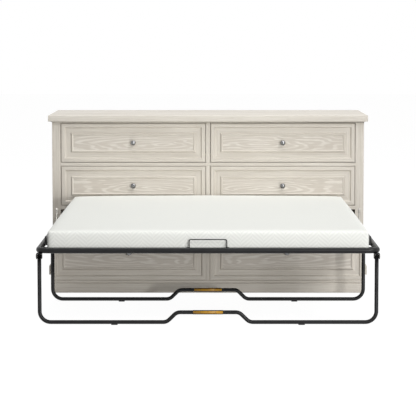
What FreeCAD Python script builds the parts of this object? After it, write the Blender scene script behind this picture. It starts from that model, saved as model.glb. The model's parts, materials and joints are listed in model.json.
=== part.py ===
"""Cabinet bed: a dresser-like cabinet with a fold-out steel bed frame and a foam mattress.

Millimetres, +Z up, +X to the right seen from the front, +Y from the foot of the bed to the cabinet's
back. The origin is on the floor, in the middle of the whole object's footprint.
"""
import FreeCAD
import Part
import math
import os

V = FreeCAD.Vector

# Overall sizes
cabinet_depth = 690.0
cabinet_height = 910.0
bed_reach = 1909.0
mattress_width = 1524.0
rail_z = 357.0
overrun = 2.0

# Cabinet carcass and face frame
board = 18.0
back_panel_thickness = 6.0
back_panel_inset = 2.0
top_thickness = 35.0
top_overhang_side = 21.0
top_overhang_front = 22.0
top_bevel = 5.0
cove_height = 5.0
cove_reach = 8.0
face_thickness = 20.0
post_width = 48.0
post_rail_gap = 19.5
stile_width = 24.0
rail_height = 19.0
bay_rail_height = 22.0
bay_rail_gap = 3.0
header_height = 8.0
base_moulding_height = 62.0
base_moulding_thickness = 22.0
base_moulding_bevel = 12.0
shelf_thickness = 12.0

# Drawer fronts and false fronts
reveal = 2.5
front_thickness = face_thickness
strip_width = 22.0
field_width = 40.0
bead_width = 5.0
field_depth = 5.0
panel_depth = 4.0
moulding_slope = 4.0
front_edge_bevel = 2.0
knob_head_radius = 15.0
knob_neck_radius = 6.0
knob_flange_radius = 10.0
knob_flange_thickness = 3.0
knob_neck_length = 11.0
knob_head_length = 12.0

# Upper drawer boxes and their runners
drawer_top_gap = 42.0
drawer_back_gap = 102.0
drawer_wall = 12.0
drawer_floor = 6.0
drawer_lift = 30.0
runner_thickness = 12.5
runner_height = 35.0
runner_lift = 20.0
runner_clearance = 0.4

# Trolley under the bed
trolley_hinge_gap = 180.0
trolley_side_gap = 10.0
trolley_slat_gap = 8.5
trolley_floor_gap = 6.0
trolley_plinth_height = 55.0
trolley_base_height = 72.0
trolley_base_step = 6.0
trolley_base_slope = 16.0
trolley_stile_width = 18.0
trolley_knob_share = 0.573
trolley_back_gap = 32.0
trolley_box_low = 70.0
trolley_box_high = 250.0
slide_end_gap = 10.0
slide_front_gap = 3.0
slide_carrier_thickness = 35.2
slide_height = 46.0
slide_low = 120.0
slide_member_thickness = 12.0
slide_lip = 3.0
caster_wheel_radius = 25.0
caster_wheel_width = 22.0
caster_axle_radius = 4.0
caster_fork_thickness = 3.0
caster_plate_thickness = 4.0
caster_plate_length = 70.0
caster_setback = 90.0
caster_side_share = 0.72

# Bed frame
rail_radius = 14.0
tube_wall = 1.5
rail_mattress_gap = 27.5
elbow_radius = 46.0
elbow_tail = 30.0
fold_setback = 51.0
hinge_gap = 2.0
hinge_pivot_rise = 4.7
hinge_plate_thickness = 4.0
hinge_plate_gap = 0.4
hinge_plate_reach = 95.0
hinge_plate_foot = 50.0
hinge_eye_radius = 17.0
hinge_pin_radius = 5.0
pin_clearance = 0.05
pin_head_radius = 9.0
pin_head_thickness = 3.0
slat_count = 6
slat_width = 60.0
slat_thickness = 2.5
slat_margin = 90.0
slat_hinge_margin = 55.0
anchor_depth = 140.0
anchor_thickness = 6.0
anchor_length = 90.0
anchor_height = 60.0

# Folding legs
leg_radius = 9.5
leg_inset = 3.5
leg_pivot_drop = 14.0
leg_top_rise = 3.5
front_leg_setback = 14.0
rear_leg_hinge_gap = 110.0
leg_corner_radius = 52.0
leg_rise = 47.0
leg_rise_half_width = 148.5
leg_rise_run = 48.0
leg_rise_radius = 40.0
leg_pin_radius = 4.0
bracket_thickness = 3.0
bracket_gap = 0.6
bracket_length = 44.0
bracket_drop = 12.0
glide_x = 445.0
glide_length = 30.0
glide_width = 16.0
glide_thickness = 3.5
tape_half_length = 71.0
tape_thickness = 0.8

# Mattress and what keeps it in place
mattress_front_gap = 4.0
mattress_back_gap = 12.0
mattress_seat_gap = 0.3
mattress_height = 106.0
mattress_crown = 4.0
mattress_edge_radius = 14.0
mattress_fold_gap = 0.3
hoop_half_width = 89.0
hoop_rise = 38.0
hoop_wire_radius = 2.5
hoop_corner_radius = 8.0
clip_width = 10.0
clip_thickness = 2.0
guard_length = 60.0
guard_height = 44.0
guard_thickness = 4.0
guard_bevel = 12.0
foot_guard_setback = 230.0
head_guard_setback = 140.0

# Places worked out from the sizes above
front_y = (bed_reach - cabinet_depth) / 2
back_y = front_y + cabinet_depth
back_inner = back_y - back_panel_inset - back_panel_thickness
foot_y = front_y - bed_reach + rail_radius
hinge_back = (bed_reach + fold_setback) / 2
hinge_y = front_y - hinge_back
front_leg_y = foot_y + front_leg_setback
rear_leg_y = hinge_y - rear_leg_hinge_gap
rail_x = mattress_width / 2 + rail_mattress_gap + rail_radius
leg_x = rail_x - leg_inset
rail_bottom = rail_z - rail_radius
leg_pivot_z = rail_bottom - leg_pivot_drop
deck_z = rail_bottom + mattress_seat_gap
hinge_pivot_z = deck_z + mattress_height + mattress_crown + hinge_pivot_rise
post_inner = rail_x + rail_radius + post_rail_gap
half_width = post_inner + post_width
cabinet_width = 2 * half_width
stile_half = stile_width / 2
side_inner = half_width - board
opening_width = post_inner - stile_half
opening_middle = stile_half + opening_width / 2
top_z = cabinet_height - top_thickness
bay_high = rail_z + rail_radius + bay_rail_gap
row2_low = bay_high + bay_rail_height
row1_high = top_z - header_height
front_height = (row1_high - row2_low - rail_height) / 2
row2_high = row2_low + front_height
row1_low = row2_high + rail_height
drawer_box_height = front_height - drawer_lift - drawer_top_gap
drawer_box_depth = back_inner - front_y - front_thickness - drawer_back_gap
trolley_out = hinge_back - trolley_hinge_gap
trolley_front_y = front_y - trolley_out
trolley_width = 2 * (post_inner - trolley_side_gap)
trolley_top = rail_bottom - slat_thickness - trolley_slat_gap
trolley_box_depth = back_inner - front_y - front_thickness - trolley_back_gap
slide_length = trolley_box_depth - slide_end_gap
slide_stack = 3 * slide_member_thickness + 2 * runner_clearance
trolley_box_width = 2 * (side_inner - slide_carrier_thickness - slide_stack)

nodes = {}
leg_hardware = {"leg_pins": [], "leg_brackets": []}


def add(name, *solids):
    """Keep one node, joined as a group where it has more than one solid."""
    nodes[name] = solids[0] if len(solids) == 1 else Part.Compound(list(solids))


def box(x0, x1, y0, y1, z0, z1):
    """Return a block between two corners."""
    return Part.makeBox(x1 - x0, y1 - y0, z1 - z0, V(x0, y0, z0))


def mirrored(solid):
    """Return the solid on the other side of the object."""
    return solid.mirror(V(0, 0, 0), V(1, 0, 0))


def add_pair(name, *solids):
    """Keep the left solids and their mirror images as one node."""
    add(name, *solids, *[mirrored(solid) for solid in solids])


def rod(start, end, radius):
    """Return a round bar from one point to another."""
    along = end - start
    return Part.makeCylinder(radius, along.Length, start, along)


def rectangle(x0, x1, z0, z1, y):
    """Return a rectangular wire that faces the front."""
    corners = [V(x0, y, z0), V(x1, y, z0), V(x1, y, z1), V(x0, y, z1), V(x0, y, z0)]
    return Part.makePolygon(corners)


def sloped_block(x0, x1, z0, z1, y, depth, grow):
    """Return a block whose outline grows by a set amount from its face to its depth."""
    near = rectangle(x0, x1, z0, z1, y)
    far = rectangle(x0 - grow, x1 + grow, z0 - grow, z1 + grow, y + depth)
    return Part.makeLoft([near, far], True, True)


def slab(points, x0, x1):
    """Return a plate with an outline of (y, z) points, from one x to another."""
    outline = [V(x0, y, z) for y, z in points]
    face = Part.Face(Part.makePolygon(outline + outline[:1]))
    return face.extrude(V(x1 - x0, 0, 0))


def bent_path(points, radii):
    """Return a wire of straight runs, with a tangent arc at each inner point."""
    edges = []
    start = points[0]
    for before, corner, after, radius in zip(points, points[1:], points[2:], radii):
        to_before = (before - corner).normalize()
        to_after = (after - corner).normalize()
        half_turn = to_before.getAngle(to_after) / 2
        tangent = radius / math.tan(half_turn)
        middle_way = (to_before + to_after).normalize()
        middle = corner + middle_way * (radius / math.sin(half_turn) - radius)
        arc_start = corner + to_before * tangent
        arc_end = corner + to_after * tangent
        edges.append(Part.LineSegment(start, arc_start).toShape())
        edges.append(Part.Arc(arc_start, middle, arc_end).toShape())
        start = arc_end
    edges.append(Part.LineSegment(start, points[-1]).toShape())
    return Part.Wire(edges)


def swept(path, radius):
    """Return a round bar along a path."""
    first = path.Edges[0]
    direction = first.tangentAt(first.FirstParameter)
    circle = Part.Wire(Part.makeCircle(radius, path.Vertexes[0].Point, direction))
    return path.makePipeShell([circle], True, False)


def tube(path, radius):
    """Return an open steel tube along a path."""
    return swept(path, radius).cut(swept(path, radius - tube_wall))


def straight_tube(start, end, radius):
    """Return a straight open steel tube."""
    return rod(start, end, radius).cut(rod(start, end, radius - tube_wall))


def panelled_front(x_middle, width, z0, z1, y):
    """Return a board with an outer strip, a sunk field, a bead and a sunk middle panel."""
    x0 = x_middle - width / 2
    x1 = x_middle + width / 2
    board_solid = box(x0, x1, y, y + front_thickness, z0, z1)
    rim = [edge for edge in board_solid.Edges if edge.BoundBox.YMax < y + front_edge_bevel]
    board_solid = board_solid.makeChamfer(front_edge_bevel, rim)
    bead_out = strip_width + field_width
    bead_in = bead_out + bead_width
    field = sloped_block(x0 + strip_width, x1 - strip_width, z0 + strip_width, z1 - strip_width,
                         y, field_depth, -moulding_slope)
    island = sloped_block(x0 + bead_out, x1 - bead_out, z0 + bead_out, z1 - bead_out,
                          y, field_depth, moulding_slope)
    panel = sloped_block(x0 + bead_in, x1 - bead_in, z0 + bead_in, z1 - bead_in,
                         y, panel_depth, -moulding_slope)
    return board_solid.cut(field.cut(island)).cut(panel)


def knob(x, z, y):
    """Return a mushroom knob that stands out of a face towards the front."""
    neck_end = knob_flange_thickness + knob_neck_length
    tip = neck_end + knob_head_length
    crown_rise = knob_head_length / 2
    rim = V(knob_head_radius, crown_rise - tip, 0)
    crown_radius = (knob_head_radius ** 2 + crown_rise ** 2) / (2 * crown_rise)
    half_turn = math.asin(knob_head_radius / crown_radius) / 2
    flange = [V(0, 0, 0), V(knob_flange_radius, 0, 0), V(knob_flange_radius, -knob_flange_thickness, 0),
              V(knob_neck_radius, -knob_flange_thickness, 0), V(knob_neck_radius, -neck_end, 0), rim]
    runs = [Part.LineSegment(a, b).toShape() for a, b in zip(flange, flange[1:])]
    crown_middle = V(crown_radius * math.sin(half_turn),
                     crown_radius * (1 - math.cos(half_turn)) - tip, 0)
    crown = Part.Arc(rim, crown_middle, V(0, -tip, 0)).toShape()
    axis_line = Part.LineSegment(V(0, -tip, 0), V(0, 0, 0)).toShape()
    profile = Part.Face(Part.Wire(runs + [crown, axis_line]))
    solid = profile.revolve(V(0, 0, 0), V(0, 1, 0), math.degrees(2 * math.pi))
    solid.translate(V(x, y, z))
    return solid


def panel_face(y):
    """Return the depth of the middle panel's face, which a knob stands on."""
    return y + panel_depth


def build_carcass():
    """Make the boards of the cabinet and its mouldings."""
    side = box(-half_width, -side_inner, front_y + face_thickness, back_y, 0, top_z)
    add("side_left", side)
    add("side_right", mirrored(side))
    add("back_panel", box(-side_inner, side_inner, back_inner, back_inner + back_panel_thickness, 0, top_z))
    add("shelf", box(-side_inner, side_inner, front_y + face_thickness, back_inner,
                     row1_low - rail_height, row1_low - rail_height + shelf_thickness))
    add("partition", box(-stile_half, stile_half, front_y + face_thickness, back_inner,
                         row1_low - rail_height + shelf_thickness, top_z))

    top_half = half_width + top_overhang_side
    top = box(-top_half, top_half, front_y - top_overhang_front, back_y, top_z, cabinet_height)
    rim = [edge for edge in top.Edges
           if edge.BoundBox.ZMin > cabinet_height - top_bevel and edge.BoundBox.YMin < back_y - top_bevel]
    add("top", top.makeChamfer(top_bevel, rim))

    cove_low = top_z - cove_height
    cove_profile = [V(0, front_y, cove_low), V(0, front_y - cove_reach, top_z), V(0, front_y, top_z),
                    V(0, front_y, cove_low)]
    front_cove = Part.Face(Part.makePolygon(cove_profile)).extrude(V(cabinet_width, 0, 0))
    front_cove.translate(V(-half_width, 0, 0))
    side_profile = [V(-half_width, front_y, cove_low), V(-half_width - cove_reach, front_y, top_z),
                    V(-half_width, front_y, top_z), V(-half_width, front_y, cove_low)]
    side_cove = Part.Face(Part.makePolygon(side_profile)).extrude(V(0, cabinet_depth, 0))
    add("top_mouldings", front_cove, side_cove, mirrored(side_cove))

    face_back = front_y + face_thickness
    add_pair("posts", box(-half_width, -post_inner, front_y, face_back, 0, top_z))
    spans = ((row1_high, top_z), (row2_high, row1_low), (bay_high, row2_low))
    add("face_rails", *[box(-post_inner, post_inner, front_y, face_back, low, high) for low, high in spans])
    add("centre_stile",
        box(-stile_half, stile_half, front_y, face_back, row1_low, row1_high),
        box(-stile_half, stile_half, front_y, face_back, row2_low, row2_high))

    out = half_width + base_moulding_thickness
    shoulder = base_moulding_height - base_moulding_bevel
    outline = [V(-half_width, front_y, 0), V(-out, front_y, 0), V(-out, front_y, shoulder),
               V(-half_width - base_moulding_bevel, front_y, base_moulding_height),
               V(-half_width, front_y, base_moulding_height), V(-half_width, front_y, 0)]
    add_pair("base_mouldings", Part.Face(Part.makePolygon(outline)).extrude(V(0, cabinet_depth, 0)))


def build_false_fronts():
    """Make the fixed second row of fronts, with their knobs and the board behind them."""
    z0 = row2_low + reveal
    z1 = row2_high - reveal
    width = opening_width - 2 * reveal
    add_pair("false_fronts", panelled_front(-opening_middle, width, z0, z1, front_y))
    add_pair("false_front_knobs", knob(-opening_middle, (z0 + z1) / 2, panel_face(front_y)))
    face_back = front_y + face_thickness
    add("false_front_backer", box(-side_inner, side_inner, face_back, face_back + board, bay_high, row2_high))


def build_drawers():
    """Make the two upper drawers that slide, and their runners."""
    z0 = row1_low + reveal
    z1 = row1_high - reveal
    width = opening_width - 2 * reveal
    box_half = opening_width / 2 - 2 * runner_thickness - runner_clearance
    y0 = front_y + front_thickness
    y1 = y0 + drawer_box_depth
    low = row1_low + drawer_lift
    high = low + drawer_box_height
    x0 = -opening_middle - box_half
    x1 = -opening_middle + box_half
    tray = box(x0, x1, y0, y1, low, high)
    hollow = box(x0 + drawer_wall, x1 - drawer_wall, y0 + drawer_wall, y1 - drawer_wall,
                 low + drawer_floor, high + overrun)
    front = panelled_front(-opening_middle, width, z0, z1, front_y)
    handle = knob(-opening_middle, (z0 + z1) / 2, panel_face(front_y))
    runner_z = low + runner_lift
    runner_y0 = y0 + drawer_wall
    inner_left = box(x0 - runner_thickness, x0, runner_y0, y1, runner_z, runner_z + runner_height)
    inner_right = box(x1, x1 + runner_thickness, runner_y0, y1, runner_z, runner_z + runner_height)
    outer_x0 = x0 - runner_thickness - runner_clearance
    outer_x1 = x1 + runner_thickness + runner_clearance
    left_wall = -side_inner
    outer_left = box(left_wall, outer_x0, runner_y0 + drawer_wall, y1, runner_z, runner_z + runner_height)
    outer_right = box(outer_x1, -stile_half, runner_y0 + drawer_wall, y1, runner_z,
                      runner_z + runner_height)
    for side, place in (("left", lambda solid: solid), ("right", mirrored)):
        add("drawer_front_" + side, place(front))
        add("drawer_box_" + side, place(tray.cut(hollow)))
        add("drawer_knob_" + side, place(handle))
        add("drawer_runners_" + side, place(inner_left), place(inner_right))
    add_pair("cabinet_runners", outer_left, outer_right)


def build_trolley():
    """Make the pulled-out trolley: its panelled front, box, runners and casters."""
    half = trolley_width / 2
    stile = trolley_stile_width / 2
    y0 = trolley_front_y
    y1 = y0 + front_thickness
    panel_width = half - stile
    panel_middle = stile + panel_width / 2
    add_pair("trolley_fronts",
             panelled_front(-panel_middle, panel_width, trolley_base_height, trolley_top, y0))
    add("trolley_stile", box(-stile, stile, y0, y1, trolley_base_height, trolley_top))
    plinth = box(-half, half, y0 - trolley_base_step, y1, trolley_floor_gap, trolley_plinth_height)
    lip = [V(-half, y0 - trolley_base_step, trolley_plinth_height),
           V(-half, y1, trolley_plinth_height), V(-half, y1, trolley_base_height),
           V(-half, y0, trolley_base_height),
           V(-half, y0, trolley_plinth_height + trolley_base_slope)]
    step = Part.Face(Part.makePolygon(lip + lip[:1])).extrude(V(trolley_width, 0, 0))
    add("trolley_plinth", plinth.fuse(step).removeSplitter())
    knob_z = trolley_base_height + (trolley_top - trolley_base_height) * trolley_knob_share
    add_pair("trolley_knobs", knob(-panel_middle, knob_z, panel_face(y0)))

    box_half = trolley_box_width / 2
    box_back = y1 + trolley_box_depth
    tray = box(-box_half, box_half, y1, box_back, trolley_box_low, trolley_box_high)
    hollow = box(-box_half + board, box_half - board, y1 + board, box_back - board,
                 trolley_box_low + board, trolley_box_high + overrun)
    add("trolley_box", tray.cut(hollow))

    build_slides(box_half, y1)
    build_casters(y1)


def build_slides(box_half, y1):
    """Make the three-member slides on both sides of the trolley."""
    slide_high = slide_low + slide_height
    fixed_y0 = y1 + trolley_out + slide_front_gap
    inner_out = box_half + slide_member_thickness
    middle_in = inner_out + runner_clearance
    middle_out = middle_in + slide_member_thickness
    outer_in = middle_out + runner_clearance
    outer_out = outer_in + slide_member_thickness
    inner = box(-inner_out, -box_half, y1, y1 + slide_length, slide_low, slide_high)
    middle_y0 = (y1 + fixed_y0) / 2
    middle = box(-middle_out, -middle_in, middle_y0, middle_y0 + slide_length, slide_low, slide_high)
    outer = box(-outer_out, -outer_in, fixed_y0, fixed_y0 + slide_length, slide_low, slide_high)
    carrier = box(-side_inner, -outer_out, front_y + face_thickness, fixed_y0 + slide_length,
                  slide_low - slide_lip, slide_high + slide_lip)
    add_pair("trolley_slide_inners", inner)
    add_pair("trolley_slide_middles", middle)
    add_pair("trolley_slide_outers", outer)
    add_pair("trolley_slide_carriers", carrier)


def build_casters(y1):
    """Make the two casters that carry the trolley's front on the floor."""
    x = trolley_box_width / 2 * caster_side_share
    y = y1 + caster_setback
    half_wheel = caster_wheel_width / 2
    cheek_in = half_wheel + runner_clearance
    cheek_out = cheek_in + caster_fork_thickness
    axle_z = caster_wheel_radius
    plate_low = trolley_box_low - caster_plate_thickness
    half_plate = caster_plate_length / 2
    half_cheek = caster_wheel_radius / 2
    plate = box(-x - half_plate, -x + half_plate, y - half_plate, y + half_plate, plate_low, trolley_box_low)
    cheek_low = axle_z - half_cheek
    left = box(-x - cheek_out, -x - cheek_in, y - half_cheek, y + half_cheek, cheek_low, plate_low)
    right = box(-x + cheek_in, -x + cheek_out, y - half_cheek, y + half_cheek, cheek_low, plate_low)
    axle = rod(V(-x - cheek_out, y, axle_z), V(-x + cheek_out, y, axle_z), caster_axle_radius)
    fork = plate.fuse(left).fuse(right).cut(axle)
    bore = rod(V(-x - half_wheel - overrun, y, axle_z), V(-x + half_wheel + overrun, y, axle_z),
               caster_axle_radius + pin_clearance)
    wheel = rod(V(-x - half_wheel, y, axle_z), V(-x + half_wheel, y, axle_z), caster_wheel_radius)
    wheel = wheel.makeFillet(caster_axle_radius / 2, wheel.Edges[:1] + wheel.Edges[2:]).cut(bore)
    add_pair("caster_forks", fork)
    add_pair("caster_axles", axle)
    add("caster_wheel_left", wheel)
    add("caster_wheel_right", mirrored(wheel))


def build_bed_rails():
    """Make the side rails, the foot tube and the brackets that hold the head in the cabinet."""
    corner = V(-rail_x, foot_y, rail_z)
    tail = elbow_radius + elbow_tail
    path = bent_path([V(-rail_x, foot_y + tail, rail_z), corner, V(rail_x, foot_y, rail_z),
                      V(rail_x, foot_y + tail, rail_z)], [elbow_radius, elbow_radius])
    add("foot_tube", tube(path, rail_radius))
    foot_rail = straight_tube(V(-rail_x, foot_y + tail, rail_z), V(-rail_x, hinge_y - hinge_gap, rail_z),
                              rail_radius)
    add_pair("foot_rails", foot_rail)
    hinge_end = V(-rail_x, hinge_y + hinge_gap, rail_z)
    cabinet_end = V(-rail_x, front_y + anchor_depth, rail_z)
    head_rail = straight_tube(hinge_end, cabinet_end, rail_radius)
    add_pair("head_rails", head_rail)
    anchor_y1 = front_y + anchor_depth
    anchor_y0 = anchor_y1 - anchor_length
    rail_out = rail_x + rail_radius
    upright = box(-side_inner, -side_inner + anchor_thickness, anchor_y0, anchor_y1,
                  rail_bottom - anchor_height, rail_bottom)
    seat = box(-side_inner, -rail_x + rail_radius, anchor_y0, anchor_y1, rail_bottom - anchor_thickness,
               rail_bottom)
    web = slab([(anchor_y0, rail_bottom - anchor_thickness), (anchor_y1, rail_bottom - anchor_thickness),
                (anchor_y1, rail_bottom - anchor_height)],
               -side_inner + anchor_thickness, -rail_out)
    add_pair("head_anchors", upright.fuse(seat).fuse(web).removeSplitter())


def build_slats():
    """Make the flat cross slats that the mattress lies on."""
    spans = (("foot_slats", foot_y + slat_margin, hinge_y - slat_hinge_margin),
             ("head_slats", hinge_y + slat_hinge_margin, front_y - slat_margin))
    for name, y0, y1 in spans:
        pitch = (y1 - y0) / (slat_count - 1)
        middles = [y0 + pitch * index for index in range(slat_count)]
        slats = [box(-rail_x, rail_x, y - slat_width / 2, y + slat_width / 2,
                     rail_bottom - slat_thickness, rail_bottom) for y in middles]
        add(name, *slats)


def build_fold_hinges():
    """Make the raised hinges beside the mattress, where the bed folds in half."""
    rail_inner = rail_x - rail_radius
    head_in = rail_inner - hinge_plate_thickness
    foot_out = head_in - hinge_plate_gap
    foot_in = foot_out - hinge_plate_thickness
    low = rail_z - rail_radius / 2
    high = rail_z + rail_radius / 2
    far = hinge_plate_reach
    near = hinge_plate_reach - hinge_plate_foot

    def plate(x_low, x_high, way):
        blank = slab([(hinge_y - way * hinge_eye_radius, hinge_pivot_z), (hinge_y + way * near, low),
                      (hinge_y + way * far, low), (hinge_y + way * far, high),
                      (hinge_y + way * hinge_eye_radius, hinge_pivot_z)], x_low, x_high)
        eye = rod(V(x_low, hinge_y, hinge_pivot_z), V(x_high, hinge_y, hinge_pivot_z), hinge_eye_radius)
        return blank.fuse(eye).removeSplitter()

    pin = rod(V(-rail_inner, hinge_y, hinge_pivot_z), V(-foot_in, hinge_y, hinge_pivot_z), hinge_pin_radius)
    head = rod(V(-foot_in, hinge_y, hinge_pivot_z),
               V(-foot_in + pin_head_thickness, hinge_y, hinge_pivot_z), pin_head_radius)
    head.translate(V(pin_clearance, 0, 0))
    pin_reach = rod(V(-foot_in, hinge_y, hinge_pivot_z), V(-foot_in + pin_clearance, hinge_y, hinge_pivot_z),
                    hinge_pin_radius)
    pin = pin.fuse(pin_reach).fuse(head).removeSplitter()
    bore_start = V(-foot_out - overrun, hinge_y, hinge_pivot_z)
    bore_end = V(-foot_in + overrun, hinge_y, hinge_pivot_z)
    foot_bore = rod(bore_start, bore_end, hinge_pin_radius + pin_clearance)
    head_plate = plate(-rail_inner, -head_in, 1).cut(pin)
    weld = box(-rail_inner, -foot_out, hinge_y - far, hinge_y - near, low, high)
    foot_plate = plate(-foot_out, -foot_in, -1).fuse(weld).cut(foot_bore).removeSplitter()
    add_pair("head_hinge_plates", head_plate)
    add_pair("foot_hinge_plates", foot_plate)
    add_pair("hinge_pins", pin)


def build_leg(name, y):
    """Make one folding U-leg with its glides and tape, and the brackets and pins it turns on."""
    tube_z = glide_thickness + leg_radius
    outer_run = leg_rise_half_width + leg_rise_run
    half = [V(-leg_x, y, leg_pivot_z + leg_top_rise), V(-leg_x, y, tube_z), V(-outer_run, y, tube_z),
            V(-leg_rise_half_width, y, tube_z + leg_rise)]
    path_points = half + [V(-point.x, point.y, point.z) for point in reversed(half)]
    bends = [leg_corner_radius, leg_rise_radius, leg_rise_radius]
    path = bent_path(path_points, bends + bends[::-1])
    pin_out = leg_x + leg_radius + bracket_gap + bracket_thickness
    pin_in = leg_x - leg_radius - bracket_gap - bracket_thickness
    shank = rod(V(-pin_out, y, leg_pivot_z), V(-pin_in, y, leg_pivot_z), leg_pin_radius)
    head = rod(V(-pin_out - pin_head_thickness, y, leg_pivot_z), V(-pin_out, y, leg_pivot_z), pin_head_radius)
    bore = rod(V(-pin_out, y, leg_pivot_z), V(-pin_in, y, leg_pivot_z), leg_pin_radius + pin_clearance)
    add(name + "_leg", tube(path, leg_radius).cut(bore).cut(mirrored(bore)))
    web = box(-pin_out, -pin_in, y - bracket_length / 2, y + bracket_length / 2,
              rail_bottom - bracket_thickness, rail_bottom)
    cheek_low = leg_pivot_z - bracket_drop
    outer = box(-pin_out, -pin_out + bracket_thickness, y - bracket_length / 2, y + bracket_length / 2,
                cheek_low, rail_bottom)
    inner = box(-pin_in - bracket_thickness, -pin_in, y - bracket_length / 2, y + bracket_length / 2,
                cheek_low, rail_bottom)
    bracket = web.fuse(outer).fuse(inner).removeSplitter().cut(shank)
    leg_hardware["leg_pins"].append(shank.fuse(head).removeSplitter())
    leg_hardware["leg_brackets"].append(bracket)

    pad = box(-glide_x - glide_length / 2, -glide_x + glide_length / 2, y - glide_width / 2,
              y + glide_width / 2, 0, tube_z)
    core = rod(V(-glide_x - glide_length, y, tube_z), V(-glide_x + glide_length, y, tube_z), leg_radius)
    add_pair(name + "_leg_glides", pad.cut(core))

    tape_z = tube_z + leg_rise
    ends = (V(-tape_half_length, y, tape_z), V(tape_half_length, y, tape_z))
    add(name + "_leg_tape", rod(*ends, leg_radius + tape_thickness).cut(rod(*ends, leg_radius)))


def mattress_half(y0, y1, end_y):
    """Return half of the mattress, with a crowned top and its free end rounded."""
    half = mattress_width / 2
    shoulder = deck_z + mattress_height
    soft = mattress_edge_radius
    crown = Part.Arc(V(-half, y0, shoulder), V(0, y0, shoulder + mattress_crown), V(half, y0, shoulder))
    lines = [V(half, y0, shoulder), V(half, y0, deck_z), V(-half, y0, deck_z), V(-half, y0, shoulder)]
    runs = [Part.LineSegment(a, b).toShape() for a, b in zip(lines, lines[1:])]
    body = Part.Face(Part.Wire([crown.toShape()] + runs)).extrude(V(0, y1 - y0, 0))

    def soft_edge(edge):
        where = edge.BoundBox
        long_edge = where.YLength > soft and where.ZMin > shoulder - soft
        at_end = abs(where.YMin - end_y) < soft and abs(where.YMax - end_y) < soft
        end_edge = at_end and where.ZMax > deck_z + soft
        return long_edge or end_edge

    return body.makeFillet(soft, [edge for edge in body.Edges if soft_edge(edge)])


def build_mattress():
    """Make the two halves of the mattress and the pieces that keep it in place."""
    foot_end = foot_y + rail_radius + mattress_front_gap
    head_end = front_y - mattress_back_gap
    add("mattress_foot", mattress_half(foot_end, hinge_y - mattress_fold_gap, foot_end))
    add("mattress_head", mattress_half(hinge_y + mattress_fold_gap, head_end, head_end))

    tube_top = rail_z + rail_radius
    hoop_z = tube_top + hoop_rise
    points = [V(-hoop_half_width, foot_y, tube_top), V(-hoop_half_width, foot_y, hoop_z),
              V(hoop_half_width, foot_y, hoop_z), V(hoop_half_width, foot_y, tube_top)]
    add("retainer_hoop", swept(bent_path(points, [hoop_corner_radius] * 2), hoop_wire_radius))
    clip_x = hoop_half_width + hoop_wire_radius
    core = rod(V(-clip_x - clip_width, foot_y, rail_z), V(-clip_x, foot_y, rail_z), rail_radius)
    clip = rod(V(-clip_x - clip_width, foot_y, rail_z), V(-clip_x, foot_y, rail_z),
               rail_radius + clip_thickness).cut(core)
    clip = clip.common(box(-clip_x - clip_width, -clip_x, foot_y, foot_y + rail_radius + clip_width,
                           rail_z, tube_top + clip_width))
    add_pair("retainer_clips", clip)

    for name, middle in (("foot_side_guards", foot_y + foot_guard_setback),
                         ("head_side_guards", front_y - head_guard_setback)):
        y0 = middle - guard_length / 2
        y1 = middle + guard_length / 2
        x0 = -rail_x + rail_radius
        high = rail_z + guard_height
        guard = slab([(y0, rail_z), (y1, rail_z), (y1, high - guard_bevel), (y1 - guard_bevel, high),
                      (y0 + guard_bevel, high), (y0, high - guard_bevel)], x0, x0 + guard_thickness)
        add_pair(name, guard)


def main():
    """Build every node and write one STEP file for each."""
    build_carcass()
    build_false_fronts()
    build_drawers()
    build_trolley()
    build_bed_rails()
    build_slats()
    build_fold_hinges()
    build_leg("front", front_leg_y)
    build_leg("rear", rear_leg_y)
    for name, solids in leg_hardware.items():
        add_pair(name, *solids)
    build_mattress()
    os.makedirs("parts", exist_ok=True)
    for name, shape in nodes.items():
        shape.exportStep(os.path.join("parts", name + ".step"))
    print(len(nodes), "nodes")


main()
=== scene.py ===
"""Looks of a cabinet bed: a whitewashed chest with panelled fronts and a fold-out steel bed.

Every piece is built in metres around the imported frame, and takes its place from the frame's nodes.
"""
import json
import logging
import math
from dataclasses import dataclass
from enum import Enum
from functools import cache

import bmesh
import bpy
from mathutils import Color, Matrix, Vector, noise


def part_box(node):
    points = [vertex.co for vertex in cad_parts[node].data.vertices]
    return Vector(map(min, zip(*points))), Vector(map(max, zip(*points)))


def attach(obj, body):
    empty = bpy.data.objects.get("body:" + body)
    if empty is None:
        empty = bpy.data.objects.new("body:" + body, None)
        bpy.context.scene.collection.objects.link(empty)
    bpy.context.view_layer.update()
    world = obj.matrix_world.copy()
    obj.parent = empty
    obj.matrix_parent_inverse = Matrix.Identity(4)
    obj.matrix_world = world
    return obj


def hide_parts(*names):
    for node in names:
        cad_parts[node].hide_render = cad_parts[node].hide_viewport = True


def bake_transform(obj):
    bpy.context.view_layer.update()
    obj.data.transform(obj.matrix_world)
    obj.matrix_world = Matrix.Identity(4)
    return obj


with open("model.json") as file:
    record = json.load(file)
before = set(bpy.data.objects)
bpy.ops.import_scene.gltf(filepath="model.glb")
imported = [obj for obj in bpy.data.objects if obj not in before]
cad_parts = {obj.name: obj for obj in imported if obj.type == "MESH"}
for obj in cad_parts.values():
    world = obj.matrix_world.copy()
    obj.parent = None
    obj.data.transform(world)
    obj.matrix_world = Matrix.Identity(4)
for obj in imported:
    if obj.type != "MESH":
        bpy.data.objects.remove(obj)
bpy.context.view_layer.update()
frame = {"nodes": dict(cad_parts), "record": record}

LOG = logging.getLogger("cabinet_bed")
MM = 0.001
X_AXIS = Vector((1, 0, 0))
Y_AXIS = Vector((0, 1, 0))
Z_AXIS = Vector((0, 0, 1))
SIDES = (-1, 1)
QUARTER_TURN = math.pi / 2
MERGE_DISTANCE = 0.01 * MM
FLAT_ANGLE = math.radians(0.5)
HARD_ANGLE = math.radians(24)
EASE_STEPS = 2
TUBE_SIDES = 20
STOUT_TUBE_SIDES = 28
WIRE_SIDES = 12
BEND_STEP = math.radians(9)
FEWEST_BEND_STEPS = 4
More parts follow.
